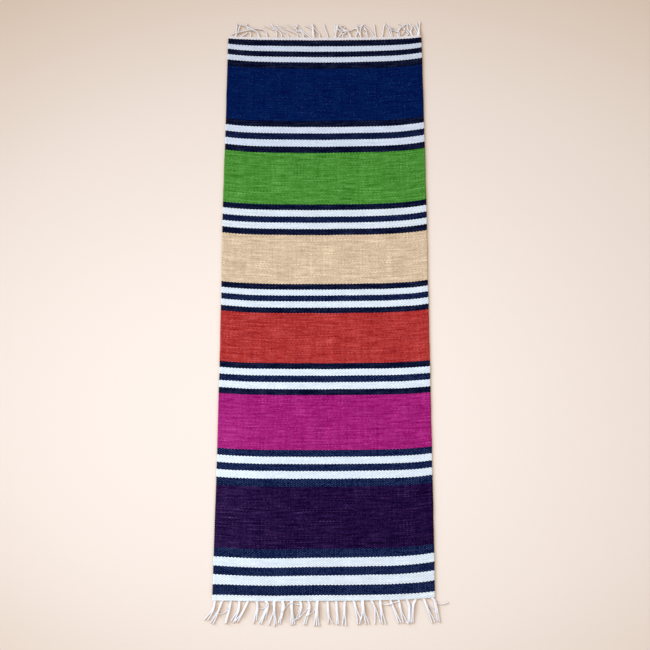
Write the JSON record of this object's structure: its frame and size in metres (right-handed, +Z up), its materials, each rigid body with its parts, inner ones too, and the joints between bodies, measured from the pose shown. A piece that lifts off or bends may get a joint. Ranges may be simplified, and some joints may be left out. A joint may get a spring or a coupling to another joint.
{
  "type": "flat-woven kilim runner",
  "caption": "Long narrow flat-woven rug in plain colour bands parted by navy and white stripes, with a plain white heading and a warp fringe at each end.",
  "frame": {"origin": "middle of the cloth's underside, on the floor, halfway between the selvedges and between the two headings' outer edges", "axes": "+X across the rug, +Y along the warp towards the far end, the end with the narrow heading, +Z up out of the face"},
  "size_m": [0.6332, 1.7818, 0.004],
  "materials": {
    "striped_weft": "matte weft-faced cotton weave in bands of blue, green, sand, red, magenta and purple with navy and white stripes",
    "warp_cotton": "matte undyed white cotton, loosely twisted"
  },
  "bodies": {
    "root": {"woven_cloth": "striped_weft", "far_fringe": "warp_cotton", "near_fringe": "warp_cotton"}
  },
  "joints": []
}
